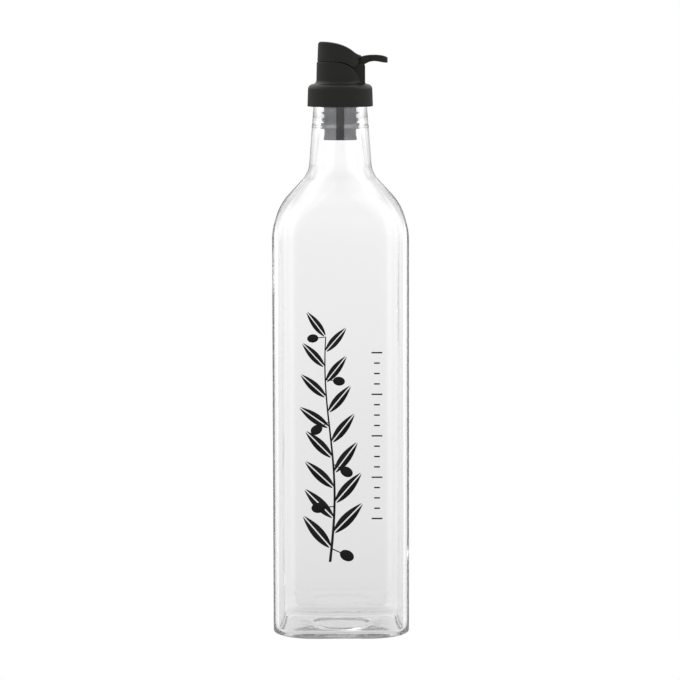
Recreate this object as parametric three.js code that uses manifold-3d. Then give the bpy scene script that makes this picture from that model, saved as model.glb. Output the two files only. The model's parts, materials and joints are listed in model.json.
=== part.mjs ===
// Oil cruet: a square glass bottle with rounded corners and a round neck, closed by a black
// flip-top pourer whose stopper sits in the neck. The bottle is empty.
// Millimetres, +Z up. The origin is the middle of the base, on the surface the bottle stands on.
// The front face looks along -Y, the lid's beak along -X and the thumb lever along +X.

import * as THREE from "three";
import { mergeVertices } from "three/addons/utils/BufferGeometryUtils.js";
import Module from "manifold-3d";

const wasm = await Module();
wasm.setup();

const GAP = 0.3; // between pieces that meet

// Bottle: outside
const BODY_HALF = 38.05; // half the width across the flats
const BODY_CORNER = 14; // plan radius of the four upright edges
const HEEL_RADIUS = 2.6;
const BASE_FLAT = 15; // reach of the flats at the base, whose corners are rounder than the body's
const BASE_EASE_Z = 6; // height where the corners have the body's radius
const PUNT_HALF = 15.5; // radius of the pushed-up middle of the base
const PUNT_STEP_HALF = 13; // its steep edge ends here
const PUNT_STEP_RISE = 1.6;
const PUNT_RISE = 2.6;
const NECK_FOOT_HALF = 17.85; // where the neck's line meets the shoulder's line
const NECK_FOOT_Z = 259.05;
const SHOULDER_SLOPE = THREE.MathUtils.degToRad(48); // above the horizontal
const SHOULDER_RADIUS = 36.5;
const NECK_FOOT_RADIUS = 14.5;
const ROUNDING_POWER = 2.4; // how soon the square section turns round on its way up the shoulder
const SEAM_Z = 284.8; // ring where the two halves of the neck mould meet
const SEAM_PROUD = 0.25;
const SEAM_HALF_HEIGHT = 0.7;
const FINISH_HALF = 15.15; // the plain cylinder under the collar
const FINISH_Z = 294;
const BOTTLE_HEIGHT = 306.3;
const LIP_RADIUS = 1.4;

// Bottle: inside
const WALL = 2.8;
const BORE = 11.2;
const BORE_END_Z = 284; // below, the bore opens out evenly to the foot of the neck
const BORE_END_RADIUS = 50;
const FLOOR_Z = 3.4;
const FLOOR_CROWN = 1.3; // the inner floor rises towards its middle, as the punt does
const FLOOR_FULLNESS = 0.8; // height of that rise half way out, as a share
const FLOOR_RADIUS = 5;

// Pourer: collar and tower, one moulding
const COLLAR_BOTTOM_Z = 296.05;
const COLLAR_TOP_Z = 308.4;
const COLLAR_FOOT_RADIUS = 18.4;
const COLLAR_HEAD_RADIUS = 18;
const COLLAR_SHOULDER = 3;
const SKIRT_BORE = 15.8;
const PLATE_UNDERSIDE_Z = 306.9;
const TOWER_FOOT_RADIUS = 13.4;
const TOWER_TOP_RADIUS = 13.1;
const TOWER_FOOT_FILLET = 2.2;
const COLLAR_CROWN = 0.3; // the collar's top rises this much towards the tower
const TOWER_TOP_Z = 320.9;
const CHANNEL_RADIUS = 3.2;
const LIP_RING_RADIUS = 4.6;
const LIP_RING_HEIGHT = 1.6;
const RIM_RADIUS = 10.5; // low rim inside the lid's foot
const RIM_WIDTH = 0.9;
const RIM_HEIGHT = 0.9;

// Hinge: two posts of the tower flank the lever's root
const PIVOT_X = 9.8;
const PIVOT_Z = 318;
const TRUNNION_RADIUS = 1.2;
const TRUNNION_REACH = 5.4; // half the length of the trunnion bar, which ends inside the posts
const ROOT_BOSS_RADIUS = 2.5;
const ROOT_HALF = 4.1; // half the width of the lever's root
const POST_INNER = 4.4;
const POST_OUTER = 6.6;
const POST_BACK_X = 14;
const POST_TOP_Z = 319.9;
const POST_FRONT_X = 4.6;
const SLOT_FRONT_X = 5.4;
const SLOT_FRONT_Z = 314.6; // the slot's floor falls towards the back
const SLOT_BACK_Z = 313;
const POST_CORNER = 1.3;
const NOTCH_FLOOR_Z = 309; // foot of the wedge notch beside the posts
const NOTCH_INSET = 1.2;

// Lid and lever, one moulding
const LID_FOOT_RADIUS = 13;
const LID_HEAD_RADIUS = 12.25;
const LID_TOP_Z = 332.2;
const LID_WALL = 1.7;
const ROOF_SHIFT = 0.28; // share of the wall that the hollow moves back by, for an even sloped roof
const POST_HEADROOM = 2.7;
const LID_BEAK_RADIUS = 1.6;
const TONGUE_X = 7.2; // lowest point of the lid's side skirts
const TONGUE_Z = 317.7;
const ROOF_BREAK_X = 8.2; // where the lid's round back turns into a straight slope
const ROOF_BREAK_Z = 326.1;
const ROOF_END_X = 12.2;
const ROOF_END_Z = 323.9;
const ROOF_HANDLES = [[3.4, 330.6], [-4.2, LID_TOP_Z]]; // of the curve from the break to the top
const SKIRT_START_X = -2.6; // where the lid's lower edge curves down to the tongue
const SKIRT_HANDLES = [[1.5, 321.2], [4.6, 319.9]]; // of that curve
const SKIRT_RISE = Math.PI / 6; // slope of that edge behind the tongue
const LEVER_TIP_X = 26.3;
const LEVER_TIP_LOW_Z = 320.4;
const LEVER_TIP_HIGH_Z = 323.35;
const LEVER_CREST_X = 19.1;
const LEVER_CREST_Z = 324.85;
const LEVER_CREST_HANDLE = 2.6; // length of the curves' handles at the crest
const LEVER_THICKNESS = 3.5;
const LEVER_UNDER_X = 13; // where the underside leaves the hinge boss
const LEVER_UNDER_Z = 319.1;
const LEVER_PAD_HALF = 5.6;
const LEVER_PAD_X = 19.5; // from here the thumb pad has its full width
const LEVER_PAD_END = 4.4; // length of the pad's round end
const LEVER_FLARE_X = 14.7; // the lever widens behind the posts
const KNUCKLE_X = 10.3; // small ridge where the lever meets the lid
const KNUCKLE_Z = 322.75;
const KNUCKLE_RADIUS = 2.2;

// Stopper and pour tube
const STOPPER_TOP_Z = 306.6;
const STOPPER_BOTTOM_Z = 277.4;
const STOPPER_CORE = 9.1;
const STOPPER_RIB = 10.9;
const STOPPER_BAND_BOTTOM_Z = 283.5; // broad lowest sealing band
const STOPPER_BAND_TOP_Z = 286.8;
const STOPPER_RIB_FEET = [287.3, 291.2, 295.1, 299]; // lower edge of each sealing rib above it
const STOPPER_RIB_RISE = 1.2;
const STOPPER_RIB_LAND = 0.5;
const STOPPER_TAIL = 8.95;
const STOPPER_TAIL_LIP = 9.35;
const STOPPER_TAIL_HEIGHT = 1.2;
const STOPPER_TAIL_TAPER = 1.4;
const TUBE_RADIUS = 2.1;
const TUBE_BORE = 1.3;
const TUBE_TOP_Z = 309;

// Facets
const CORNER_STEPS = 7; // for each upright edge of the bottle
const ARC_STEP = Math.PI / 15;
const TURNED_STEPS = 52;
const STOPPER_STEPS = 32;
const TUBE_STEPS = 24;
const PIN_STEPS = 20;
const LEAST_FLAT = 0.05; // keeps the flats of a round section from vanishing

const SIDE_FLAT = BODY_HALF - BODY_CORNER;
const FAR = 40; // well outside the pourer, sideways
const HIGH = 400; // and above it
const SLIVER = 0.1; // overlap that keeps joined faces from coinciding

// An outline of corners [x, y, radius]: each corner with a radius is rounded by an arc.
function rounded(corners, closed = false) {
  const points = [];
  corners.forEach(([x, y, radius], i) => {
    const here = new THREE.Vector2(x, y);
    if (!radius) {
      points.push(here);
      return;
    }
    const last = corners.length - 1;
    const before = corners[i === 0 && closed ? last : i - 1];
    const after = corners[i === last && closed ? 0 : i + 1];
    const back = new THREE.Vector2(before[0] - x, before[1] - y).normalize();
    const ahead = new THREE.Vector2(after[0] - x, after[1] - y).normalize();
    const half = Math.acos(THREE.MathUtils.clamp(back.dot(ahead), -1, 1)) / 2;
    const centre = back.clone().add(ahead).normalize();
    centre.multiplyScalar(radius / Math.sin(half)).add(here);
    const start = here.clone().addScaledVector(back, radius / Math.tan(half)).sub(centre);
    const turn = (Math.PI - 2 * half) * Math.sign(back.cross(ahead)) * -1;
    const steps = Math.max(2, Math.ceil(Math.abs(turn) / ARC_STEP));
    for (let k = 0; k <= steps; k += 1) {
      points.push(start.clone().rotateAround(new THREE.Vector2(), (turn * k) / steps).add(centre));
    }
  });
  return points;
}

// A geometry reduced to shared positions, as a solid for cutting and joining.
function solidOf(geometry) {
  const bare = geometry.index ? geometry.toNonIndexed() : geometry.clone();
  bare.deleteAttribute("normal");
  bare.deleteAttribute("uv");
  const merged = mergeVertices(bare, 1e-4);
  return new wasm.Manifold(
    new wasm.Mesh({
      numProp: 3,
      vertProperties: merged.attributes.position.array,
      triVerts: new Uint32Array(merged.index.array),
    }),
  );
}

function geometryOf(solid) {
  const mesh = solid.getMesh();
  const geometry = new THREE.BufferGeometry();
  geometry.setAttribute("position", new THREE.BufferAttribute(mesh.vertProperties, 3));
  geometry.setIndex(new THREE.BufferAttribute(mesh.triVerts, 1));
  geometry.computeVertexNormals();
  return geometry;
}

// A profile of [radius, z] points turned about the Z axis.
function turned(points, steps = TURNED_STEPS) {
  return new THREE.LatheGeometry(points, steps).rotateX(Math.PI / 2);
}

// A closed ring profile of corners turned about the Z axis.
function turnedRing(corners, steps = TURNED_STEPS) {
  const points = rounded(corners, true);
  return turned([...points, points[0].clone()], steps);
}

// A solid disc or cone frustum about the Z axis.
function frustum(footRadius, headRadius, footZ, headZ) {
  const profile = [
    new THREE.Vector2(0, footZ),
    new THREE.Vector2(footRadius, footZ),
    new THREE.Vector2(headRadius, headZ),
    new THREE.Vector2(0, headZ),
  ];
  return solidOf(turned(profile));
}

// A side outline in x and z, as a slab between two values of y.
function slabY(shape, fromY, toY) {
  const settings = { depth: toY - fromY, bevelEnabled: false, curveSegments: 8 };
  return solidOf(new THREE.ExtrudeGeometry(shape, settings).rotateX(Math.PI / 2).translate(0, toY, 0));
}

// A plan outline in x and y, as a slab between two values of z.
function slabZ(shape, fromZ, toZ) {
  const settings = { depth: toZ - fromZ, bevelEnabled: false, curveSegments: 8 };
  return solidOf(new THREE.ExtrudeGeometry(shape, settings).translate(0, 0, fromZ));
}

// A round bar along Y through the hinge's axis, or another point of the side view.
function barY(radius, halfLength, x = PIVOT_X, z = PIVOT_Z) {
  const bar = new THREE.CylinderGeometry(radius, radius, 2 * halfLength, PIN_STEPS);
  return solidOf(bar.translate(x, 0, z));
}

function polygon(corners) {
  return new THREE.Shape(rounded(corners, true));
}

// One level of the bottle: a square with rounded corners whose flats reach to +-flat.
function section(half, flat, z) {
  const radius = half - flat;
  const ring = [];
  for (let corner = 0; corner < 4; corner += 1) {
    for (let k = 0; k <= CORNER_STEPS; k += 1) {
      const angle = ((corner + k / CORNER_STEPS) * Math.PI) / 2;
      const signX = corner === 0 || corner === 3 ? 1 : -1;
      const signY = corner < 2 ? 1 : -1;
      ring.push(
        new THREE.Vector3(
          signX * flat + radius * Math.cos(angle),
          signY * flat + radius * Math.sin(angle),
          z,
        ),
      );
    }
  }
  return ring;
}

// A closed skin over rings of equal count, from a first to a last point on the axis.
function skin(firstPoint, rings, lastPoint) {
  const count = rings[0].length;
  const points = [firstPoint, ...rings.flat(), lastPoint];
  const lastIndex = points.length - 1;
  const lastRing = 1 + (rings.length - 1) * count;
  const faces = [];
  for (let k = 0; k < count; k += 1) {
    const next = (k + 1) % count;
    faces.push(0, 1 + next, 1 + k, lastIndex, lastRing + k, lastRing + next);
    for (let r = 0; r + 1 < rings.length; r += 1) {
      const low = 1 + r * count;
      const high = low + count;
      faces.push(low + k, low + next, high + next, low + k, high + next, high + k);
    }
  }
  return new THREE.BufferGeometry().setFromPoints(points).setIndex(faces);
}

// How far the flats reach at a level: full on the body, none where the section is round.
function flatAt(half, roundHalf, squareHalf, power = 1) {
  const share = THREE.MathUtils.clamp((half - roundHalf) / (squareHalf - roundHalf), 0, 1);
  return Math.max(LEAST_FLAT, SIDE_FLAT * share ** power);
}

// The reach of the flats near the base, full from BASE_EASE_Z up.
function baseFlat(z) {
  const below = Math.max(0, 1 - z / BASE_EASE_Z);
  return SIDE_FLAT - (SIDE_FLAT - BASE_FLAT) * below ** 2;
}

// The bottle's skin runs from the punt out over the heel, up the outside, over the lip,
// and down the bore and the inner wall to the floor.
function bottleGeometry() {
  const shoulderZ = NECK_FOOT_Z - (BODY_HALF - NECK_FOOT_HALF) * Math.tan(SHOULDER_SLOPE);
  const neckTaper = (NECK_FOOT_HALF - FINISH_HALF) / (FINISH_Z - NECK_FOOT_Z);
  const neckAt = (z) => FINISH_HALF + (FINISH_Z - z) * neckTaper;
  const base = rounded([
    [0, PUNT_RISE],
    [PUNT_STEP_HALF, PUNT_STEP_RISE],
    [PUNT_HALF, 0],
    [BODY_HALF, 0, HEEL_RADIUS],
    [BODY_HALF, shoulderZ],
  ]).slice(1, -1);
  const outside = rounded([
    [BODY_HALF, HEEL_RADIUS],
    [BODY_HALF, (HEEL_RADIUS + BASE_EASE_Z) / 2],
    [BODY_HALF, BASE_EASE_Z],
    [BODY_HALF, shoulderZ, SHOULDER_RADIUS],
    [NECK_FOOT_HALF, NECK_FOOT_Z, NECK_FOOT_RADIUS],
    [neckAt(SEAM_Z - SEAM_HALF_HEIGHT), SEAM_Z - SEAM_HALF_HEIGHT],
    [neckAt(SEAM_Z) + SEAM_PROUD, SEAM_Z],
    [neckAt(SEAM_Z + SEAM_HALF_HEIGHT), SEAM_Z + SEAM_HALF_HEIGHT],
    [FINISH_HALF, FINISH_Z],
    [FINISH_HALF, BOTTLE_HEIGHT, LIP_RADIUS],
    [BORE, BOTTLE_HEIGHT, LIP_RADIUS],
    [BORE, BORE_END_Z],
  ]).slice(1, -1);

  const innerHalf = BODY_HALF - WALL;
  const innerNeckFoot = NECK_FOOT_HALF - WALL;
  const innerShoulderZ = shoulderZ - WALL * Math.tan(SHOULDER_SLOPE / 2);
  const innerNeckFootZ = innerShoulderZ + (innerHalf - innerNeckFoot) * Math.tan(SHOULDER_SLOPE);
  const inside = rounded([
    [BORE, BOTTLE_HEIGHT],
    [BORE, BORE_END_Z, BORE_END_RADIUS],
    [innerNeckFoot, innerNeckFootZ, NECK_FOOT_RADIUS + WALL],
    [innerHalf, innerShoulderZ, SHOULDER_RADIUS - WALL],
    [innerHalf, FLOOR_Z, FLOOR_RADIUS],
    [innerHalf / 2, FLOOR_Z + FLOOR_CROWN * FLOOR_FULLNESS],
    [0, FLOOR_Z + FLOOR_CROWN],
  ]).slice(1, -1);

  const heelHalf = BODY_HALF - HEEL_RADIUS;
  const floorHalf = innerHalf - FLOOR_RADIUS;
  const rings = [
    ...base.map(({ x, y }) =>
      section(x, Math.max(LEAST_FLAT, flatAt(x, PUNT_HALF, heelHalf) * (baseFlat(y) / SIDE_FLAT)), y)),
    ...outside.map(({ x, y }) =>
      section(x, Math.min(baseFlat(y), flatAt(x, NECK_FOOT_HALF, BODY_HALF, ROUNDING_POWER)), y)),
    ...inside.map(({ x, y }) => {
      const onFloor = y < FLOOR_Z + FLOOR_RADIUS;
      const flat = onFloor
        ? Math.max(LEAST_FLAT, flatAt(x, 0, floorHalf) * (baseFlat(y) / SIDE_FLAT))
        : flatAt(x, innerNeckFoot, innerHalf, ROUNDING_POWER);
      return section(x, flat, y);
    }),
  ];
  const puntPoint = new THREE.Vector3(0, 0, PUNT_RISE);
  const floorPoint = new THREE.Vector3(0, 0, FLOOR_Z + FLOOR_CROWN);
  return skin(puntPoint, rings, floorPoint);
}

// Grey plug with a broad sealing band, ribs above it and a flared tail, bored for the tube.
function stopperGeometry() {
  const bore = TUBE_RADIUS + GAP;
  const ribs = STOPPER_RIB_FEET.flatMap((z) => [
    [STOPPER_CORE, z],
    [STOPPER_RIB, z + STOPPER_RIB_RISE],
    [STOPPER_CORE, z + STOPPER_RIB_RISE + STOPPER_RIB_LAND],
  ]);
  return turnedRing([
    [bore, STOPPER_BOTTOM_Z],
    [STOPPER_TAIL_LIP, STOPPER_BOTTOM_Z, STOPPER_TAIL_HEIGHT / 2],
    [STOPPER_TAIL_LIP, STOPPER_BOTTOM_Z + STOPPER_TAIL_HEIGHT, GAP],
    [STOPPER_TAIL, STOPPER_BOTTOM_Z + STOPPER_TAIL_HEIGHT + STOPPER_TAIL_TAPER],
    [STOPPER_TAIL, STOPPER_BAND_BOTTOM_Z],
    [STOPPER_RIB, STOPPER_BAND_BOTTOM_Z, STOPPER_RIB_LAND],
    [STOPPER_RIB, STOPPER_BAND_TOP_Z],
    [STOPPER_CORE, STOPPER_BAND_TOP_Z + GAP],
    ...ribs,
    [STOPPER_CORE, STOPPER_TOP_Z],
    [bore, STOPPER_TOP_Z],
  ], STOPPER_STEPS);
}

function tubeGeometry() {
  return turnedRing([
    [TUBE_BORE, STOPPER_BOTTOM_Z + GAP],
    [TUBE_RADIUS, STOPPER_BOTTOM_Z + GAP],
    [TUBE_RADIUS, TUBE_TOP_Z],
    [TUBE_BORE, TUBE_TOP_Z],
  ], TUBE_STEPS);
}

// Collar and tower with the pour channel, the hinge posts and the notches for the lid's skirts.
function pourerGeometry() {
  const body = solidOf(turnedRing([
    [CHANNEL_RADIUS, PLATE_UNDERSIDE_Z],
    [SKIRT_BORE, PLATE_UNDERSIDE_Z],
    [SKIRT_BORE, COLLAR_BOTTOM_Z],
    [COLLAR_FOOT_RADIUS, COLLAR_BOTTOM_Z],
    [COLLAR_HEAD_RADIUS, COLLAR_TOP_Z, COLLAR_SHOULDER],
    [TOWER_FOOT_RADIUS, COLLAR_TOP_Z + COLLAR_CROWN, TOWER_FOOT_FILLET],
    [TOWER_TOP_RADIUS, TOWER_TOP_Z],
    [RIM_RADIUS, TOWER_TOP_Z],
    [RIM_RADIUS, TOWER_TOP_Z + RIM_HEIGHT],
    [RIM_RADIUS - RIM_WIDTH, TOWER_TOP_Z + RIM_HEIGHT],
    [RIM_RADIUS - RIM_WIDTH, TOWER_TOP_Z],
    [LIP_RING_RADIUS, TOWER_TOP_Z],
    [LIP_RING_RADIUS, TOWER_TOP_Z + LIP_RING_HEIGHT],
    [CHANNEL_RADIUS, TOWER_TOP_Z + LIP_RING_HEIGHT],
  ]));
  const skirtNotch = new THREE.Shape();
  skirtNotch.moveTo(SKIRT_START_X - GAP, HIGH);
  skirtNotch.lineTo(SKIRT_START_X - GAP, TOWER_TOP_Z);
  skirtNotch.bezierCurveTo(
    SKIRT_HANDLES[0][0] - GAP, SKIRT_HANDLES[0][1] - GAP,
    SKIRT_HANDLES[1][0] - GAP, SKIRT_HANDLES[1][1] - GAP,
    TONGUE_X - GAP / 2, TONGUE_Z - 1.7 * GAP,
  );
  skirtNotch.lineTo(POST_BACK_X - NOTCH_INSET, NOTCH_FLOOR_Z);
  skirtNotch.lineTo(FAR, NOTCH_FLOOR_Z);
  skirtNotch.lineTo(FAR, HIGH);
  const behindLip = polygon([
    [POST_FRONT_X + SLIVER, HIGH],
    [POST_FRONT_X + SLIVER, POST_TOP_Z],
    [FAR, POST_TOP_Z],
    [FAR, HIGH],
  ]);
  const hingeBlock = polygon([
    [POST_FRONT_X, COLLAR_TOP_Z],
    [POST_BACK_X, COLLAR_TOP_Z],
    [POST_BACK_X, POST_TOP_Z, POST_CORNER],
    [POST_FRONT_X, POST_TOP_Z],
  ]);
  const leverSlot = polygon([
    [SLOT_FRONT_X, HIGH],
    [SLOT_FRONT_X, SLOT_FRONT_Z],
    [POST_BACK_X, SLOT_BACK_Z],
    [FAR, SLOT_BACK_Z],
    [FAR, HIGH],
  ]);
  const notchInner = POST_OUTER + SLIVER;
  return geometryOf(
    body
      .subtract(slabY(skirtNotch, notchInner, FAR))
      .subtract(slabY(skirtNotch, -FAR, -notchInner))
      .subtract(slabY(behindLip, -FAR, FAR))
      .add(slabY(hingeBlock, -POST_OUTER, POST_OUTER))
      .subtract(slabY(leverSlot, -POST_INNER, POST_INNER))
      .subtract(barY(TRUNNION_RADIUS + GAP, TRUNNION_REACH + GAP)),
  );
}

// Side outline of the lid, moved by (dx, dz), with its lower edge at the skirts or at a level.
function lidSide(dx, dz, flatBottomZ) {
  const shape = new THREE.Shape();
  const at = (x, z) => [x + dx, z + dz];
  const beakX = LID_BEAK_RADIUS - LID_HEAD_RADIUS - SLIVER;
  const footZ = TOWER_TOP_Z + GAP;
  if (flatBottomZ === undefined) {
    shape.moveTo(-FAR, footZ);
    shape.lineTo(SKIRT_START_X, footZ);
    shape.bezierCurveTo(...SKIRT_HANDLES[0], ...SKIRT_HANDLES[1], TONGUE_X, TONGUE_Z);
    shape.lineTo(ROOF_END_X, TONGUE_Z + (ROOF_END_X - TONGUE_X) * Math.tan(SKIRT_RISE));
  } else {
    shape.moveTo(-FAR, flatBottomZ);
    shape.lineTo(ROOF_END_X + dx, flatBottomZ);
  }
  shape.lineTo(...at(ROOF_END_X, ROOF_END_Z));
  shape.lineTo(...at(ROOF_BREAK_X, ROOF_BREAK_Z));
  shape.bezierCurveTo(...at(...ROOF_HANDLES[0]), ...at(...ROOF_HANDLES[1]), ...at(beakX, LID_TOP_Z));
  const beakCentre = at(beakX, LID_TOP_Z - LID_BEAK_RADIUS);
  shape.absarc(...beakCentre, LID_BEAK_RADIUS, Math.PI / 2, Math.PI, false);
  shape.lineTo(-FAR, flatBottomZ ?? footZ);
  return shape;
}

// Side outline of the thumb lever, from the hinge boss over the crest to the tip and back.
function leverSide() {
  const shape = new THREE.Shape();
  const underCrestZ = LEVER_CREST_Z - LEVER_THICKNESS;
  const beforeCrestX = LEVER_CREST_X - LEVER_CREST_HANDLE;
  const afterCrestX = LEVER_CREST_X + LEVER_CREST_HANDLE;
  const bossFrontX = PIVOT_X - ROOT_BOSS_RADIUS + GAP;
  shape.moveTo(bossFrontX, PIVOT_Z);
  shape.lineTo(PIVOT_X + 0.7 * ROOT_BOSS_RADIUS, PIVOT_Z - 0.7 * ROOT_BOSS_RADIUS);
  shape.lineTo(LEVER_UNDER_X, LEVER_UNDER_Z);
  shape.bezierCurveTo(
    LEVER_UNDER_X + 1.8, LEVER_UNDER_Z + 1.2,
    beforeCrestX, underCrestZ,
    LEVER_CREST_X, underCrestZ,
  );
  shape.bezierCurveTo(
    afterCrestX, underCrestZ,
    LEVER_TIP_X - 2.5, LEVER_TIP_LOW_Z - 0.1,
    LEVER_TIP_X, LEVER_TIP_LOW_Z,
  );
  shape.lineTo(LEVER_TIP_X, LEVER_TIP_HIGH_Z);
  shape.bezierCurveTo(
    LEVER_TIP_X - 1.7, LEVER_TIP_HIGH_Z + 1.15,
    afterCrestX, LEVER_CREST_Z,
    LEVER_CREST_X, LEVER_CREST_Z,
  );
  shape.bezierCurveTo(
    beforeCrestX, LEVER_CREST_Z,
    ROOF_END_X + 1.9, ROOF_END_Z + 0.8,
    ROOF_END_X - 2 * SLIVER, ROOF_END_Z,
  );
  shape.lineTo(bossFrontX, ROOF_BREAK_Z - LID_WALL);
  return shape;
}

// Plan outline of the lever: a narrow root between the posts and a round-ended thumb pad.
function leverPlan() {
  const shape = new THREE.Shape();
  const endX = LEVER_TIP_X - LEVER_PAD_END;
  const middleX = (LEVER_FLARE_X + LEVER_PAD_X) / 2;
  const quarter = Math.PI / 2;
  shape.moveTo(0, -ROOT_HALF);
  shape.lineTo(LEVER_FLARE_X, -ROOT_HALF);
  shape.bezierCurveTo(middleX, -ROOT_HALF, middleX, -LEVER_PAD_HALF, LEVER_PAD_X, -LEVER_PAD_HALF);
  shape.lineTo(endX, -LEVER_PAD_HALF);
  shape.absellipse(endX, 0, LEVER_PAD_END, LEVER_PAD_HALF, -quarter, quarter, false);
  shape.lineTo(LEVER_PAD_X, LEVER_PAD_HALF);
  shape.bezierCurveTo(middleX, LEVER_PAD_HALF, middleX, ROOT_HALF, LEVER_FLARE_X, ROOT_HALF);
  shape.lineTo(0, ROOT_HALF);
  return shape;
}

// Hollow lid with side skirts, cleared for the posts, and the lever on its trunnions.
function lidGeometry() {
  const lowZ = TONGUE_Z - 3;
  const highZ = LID_TOP_Z + 1;
  const outer = slabY(lidSide(0, 0), -FAR, FAR)
    .intersect(frustum(LID_FOOT_RADIUS, LID_HEAD_RADIUS, lowZ, highZ));
  const hollow = slabY(lidSide(-LID_WALL * ROOF_SHIFT, -LID_WALL, lowZ - 1), -FAR, FAR)
    .intersect(frustum(LID_FOOT_RADIUS - LID_WALL, LID_HEAD_RADIUS - LID_WALL, lowZ - 2, highZ));
  const postRoom = polygon([
    [POST_FRONT_X - GAP, lowZ],
    [FAR, lowZ],
    [FAR, POST_TOP_Z + POST_HEADROOM],
    [POST_FRONT_X - GAP, POST_TOP_Z + POST_HEADROOM],
  ]);
  const postRoomHalf = POST_OUTER + SLIVER + GAP;
  const lever = slabY(leverSide(), -FAR, FAR).intersect(slabZ(leverPlan(), lowZ, highZ));
  return geometryOf(
    outer
      .subtract(hollow)
      .subtract(slabY(postRoom, -postRoomHalf, postRoomHalf))
      .add(lever)
      .add(barY(ROOT_BOSS_RADIUS, ROOT_HALF))
      .add(barY(KNUCKLE_RADIUS, ROOT_HALF, KNUCKLE_X, KNUCKLE_Z))
      .add(barY(TRUNNION_RADIUS, TRUNNION_REACH)),
  );
}

const glass = new THREE.MeshPhysicalMaterial({
  color: 0xf4f7f6,
  roughness: 0.02,
  metalness: 0,
  transmission: 0.95,
  ior: 1.5,
});
const blackPlastic = new THREE.MeshStandardMaterial({ color: 0x2a2a28, roughness: 0.42, metalness: 0 });
const tubePlastic = new THREE.MeshStandardMaterial({ color: 0x1f1d1d, roughness: 0.5, metalness: 0 });
const greyPlastic = new THREE.MeshStandardMaterial({ color: 0x85868b, roughness: 0.35, metalness: 0 });

function part(name, geometry, material) {
  const mesh = new THREE.Mesh(geometry, material);
  mesh.name = name;
  return mesh;
}

const cruet = new THREE.Group();
cruet.add(part("bottle", bottleGeometry(), glass));
cruet.add(part("stopper", stopperGeometry(), greyPlastic));
cruet.add(part("pour_tube", tubeGeometry(), tubePlastic));
cruet.add(part("pourer", pourerGeometry(), blackPlastic));
cruet.add(part("lid", lidGeometry(), blackPlastic));

export default cruet;
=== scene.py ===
import json
import math

import bmesh
import bpy
from mathutils import Matrix, Vector, noise


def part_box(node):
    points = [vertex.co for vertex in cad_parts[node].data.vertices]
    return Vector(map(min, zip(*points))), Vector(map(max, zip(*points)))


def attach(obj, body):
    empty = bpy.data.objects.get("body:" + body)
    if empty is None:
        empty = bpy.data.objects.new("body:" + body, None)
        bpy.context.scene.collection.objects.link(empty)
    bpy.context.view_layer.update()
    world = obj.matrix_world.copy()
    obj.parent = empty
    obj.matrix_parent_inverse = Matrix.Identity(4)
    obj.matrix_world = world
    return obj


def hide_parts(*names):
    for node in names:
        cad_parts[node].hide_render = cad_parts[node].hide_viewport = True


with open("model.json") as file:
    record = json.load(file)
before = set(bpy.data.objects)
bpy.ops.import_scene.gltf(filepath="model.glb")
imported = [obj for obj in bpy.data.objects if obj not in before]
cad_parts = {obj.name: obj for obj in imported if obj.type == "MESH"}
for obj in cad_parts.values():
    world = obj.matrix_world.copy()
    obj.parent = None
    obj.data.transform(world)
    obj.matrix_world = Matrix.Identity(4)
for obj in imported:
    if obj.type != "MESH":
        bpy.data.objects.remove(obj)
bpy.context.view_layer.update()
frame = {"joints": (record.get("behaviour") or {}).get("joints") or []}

MM = 0.001


def node_box(node):
    low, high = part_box(node)
    return low / MM, high / MM


# Sizes are in millimetres. The first ones come from the solids.
BOTTLE_HIGH = node_box("bottle")[1]
POURER_LOW, POURER_HIGH = node_box("pourer")
LID_HIGH = node_box("lid")[1]
STOPPER_LOW, STOPPER_HIGH = node_box("stopper")
TUBE_LOW, TUBE_HIGH = node_box("pour_tube")
HINGE = Vector(frame["joints"][0]["pos_m"]) / MM
GAP = 0.3

# Bottle, outside
BODY_HALF = BOTTLE_HIGH.x
BODY_CORNER = 14
SIDE_FLAT = BODY_HALF - BODY_CORNER
HEEL_RADIUS = 2.6
HEEL_TOP_Z = HEEL_RADIUS + 1
BASE_FLAT = 15
BASE_EASE = 6
PUNT_HALF = 15.5
PUNT_STEP_HALF = 13
PUNT_STEP_RISE = 1.6
PUNT_RISE = 2.6
PUNT_ROUNDING = 2
NECK_FOOT_HALF = 17.85
NECK_FOOT_Z = 259.05
SHOULDER_SLOPE = math.radians(48)
SHOULDER_RADIUS = 36.5
NECK_FOOT_RADIUS = 14.5
ROUNDING_POWER = 2.4
SEAM_Z = 284.8
SEAM_PROUD = 0.25
SEAM_HALF_HEIGHT = 0.7
SEAM_FOOT_RADIUS = 0.9
SEAM_CREST_RADIUS = 0.6
FINE_SEAM_Z = 288.5
FINE_SEAM_PROUD = 0.07
FINE_SEAM_HALF_HEIGHT = 0.35
FINE_SEAM_CREST_RADIUS = 0.4
FINISH_HALF = 15.15
FINISH_Z = 294
BOTTLE_HEIGHT = BOTTLE_HIGH.z
LIP_RADIUS = 1.4

# Bottle, inside
WALL = 2.8
BORE = 11.2
BORE_END_Z = 284
BORE_STRAIGHT_Z = BORE_END_Z + 6
BORE_END_RADIUS = 50
NECK_FOOT_EXTRA = 0.55
FLOOR_Z = 2.4
FLOOR_CROWN = 1.9
FLOOR_CROWN_POWER = 1.5
FLOOR_RADIUS = 3
FLOOR_REACH = BODY_HALF - WALL - FLOOR_RADIUS - 4
WALL_WAVE = 0.09
WALL_WAVE_LENGTH = 24
WALL_WAVE_STRETCH = 0.55
WALL_WAVE_START = 20

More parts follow.
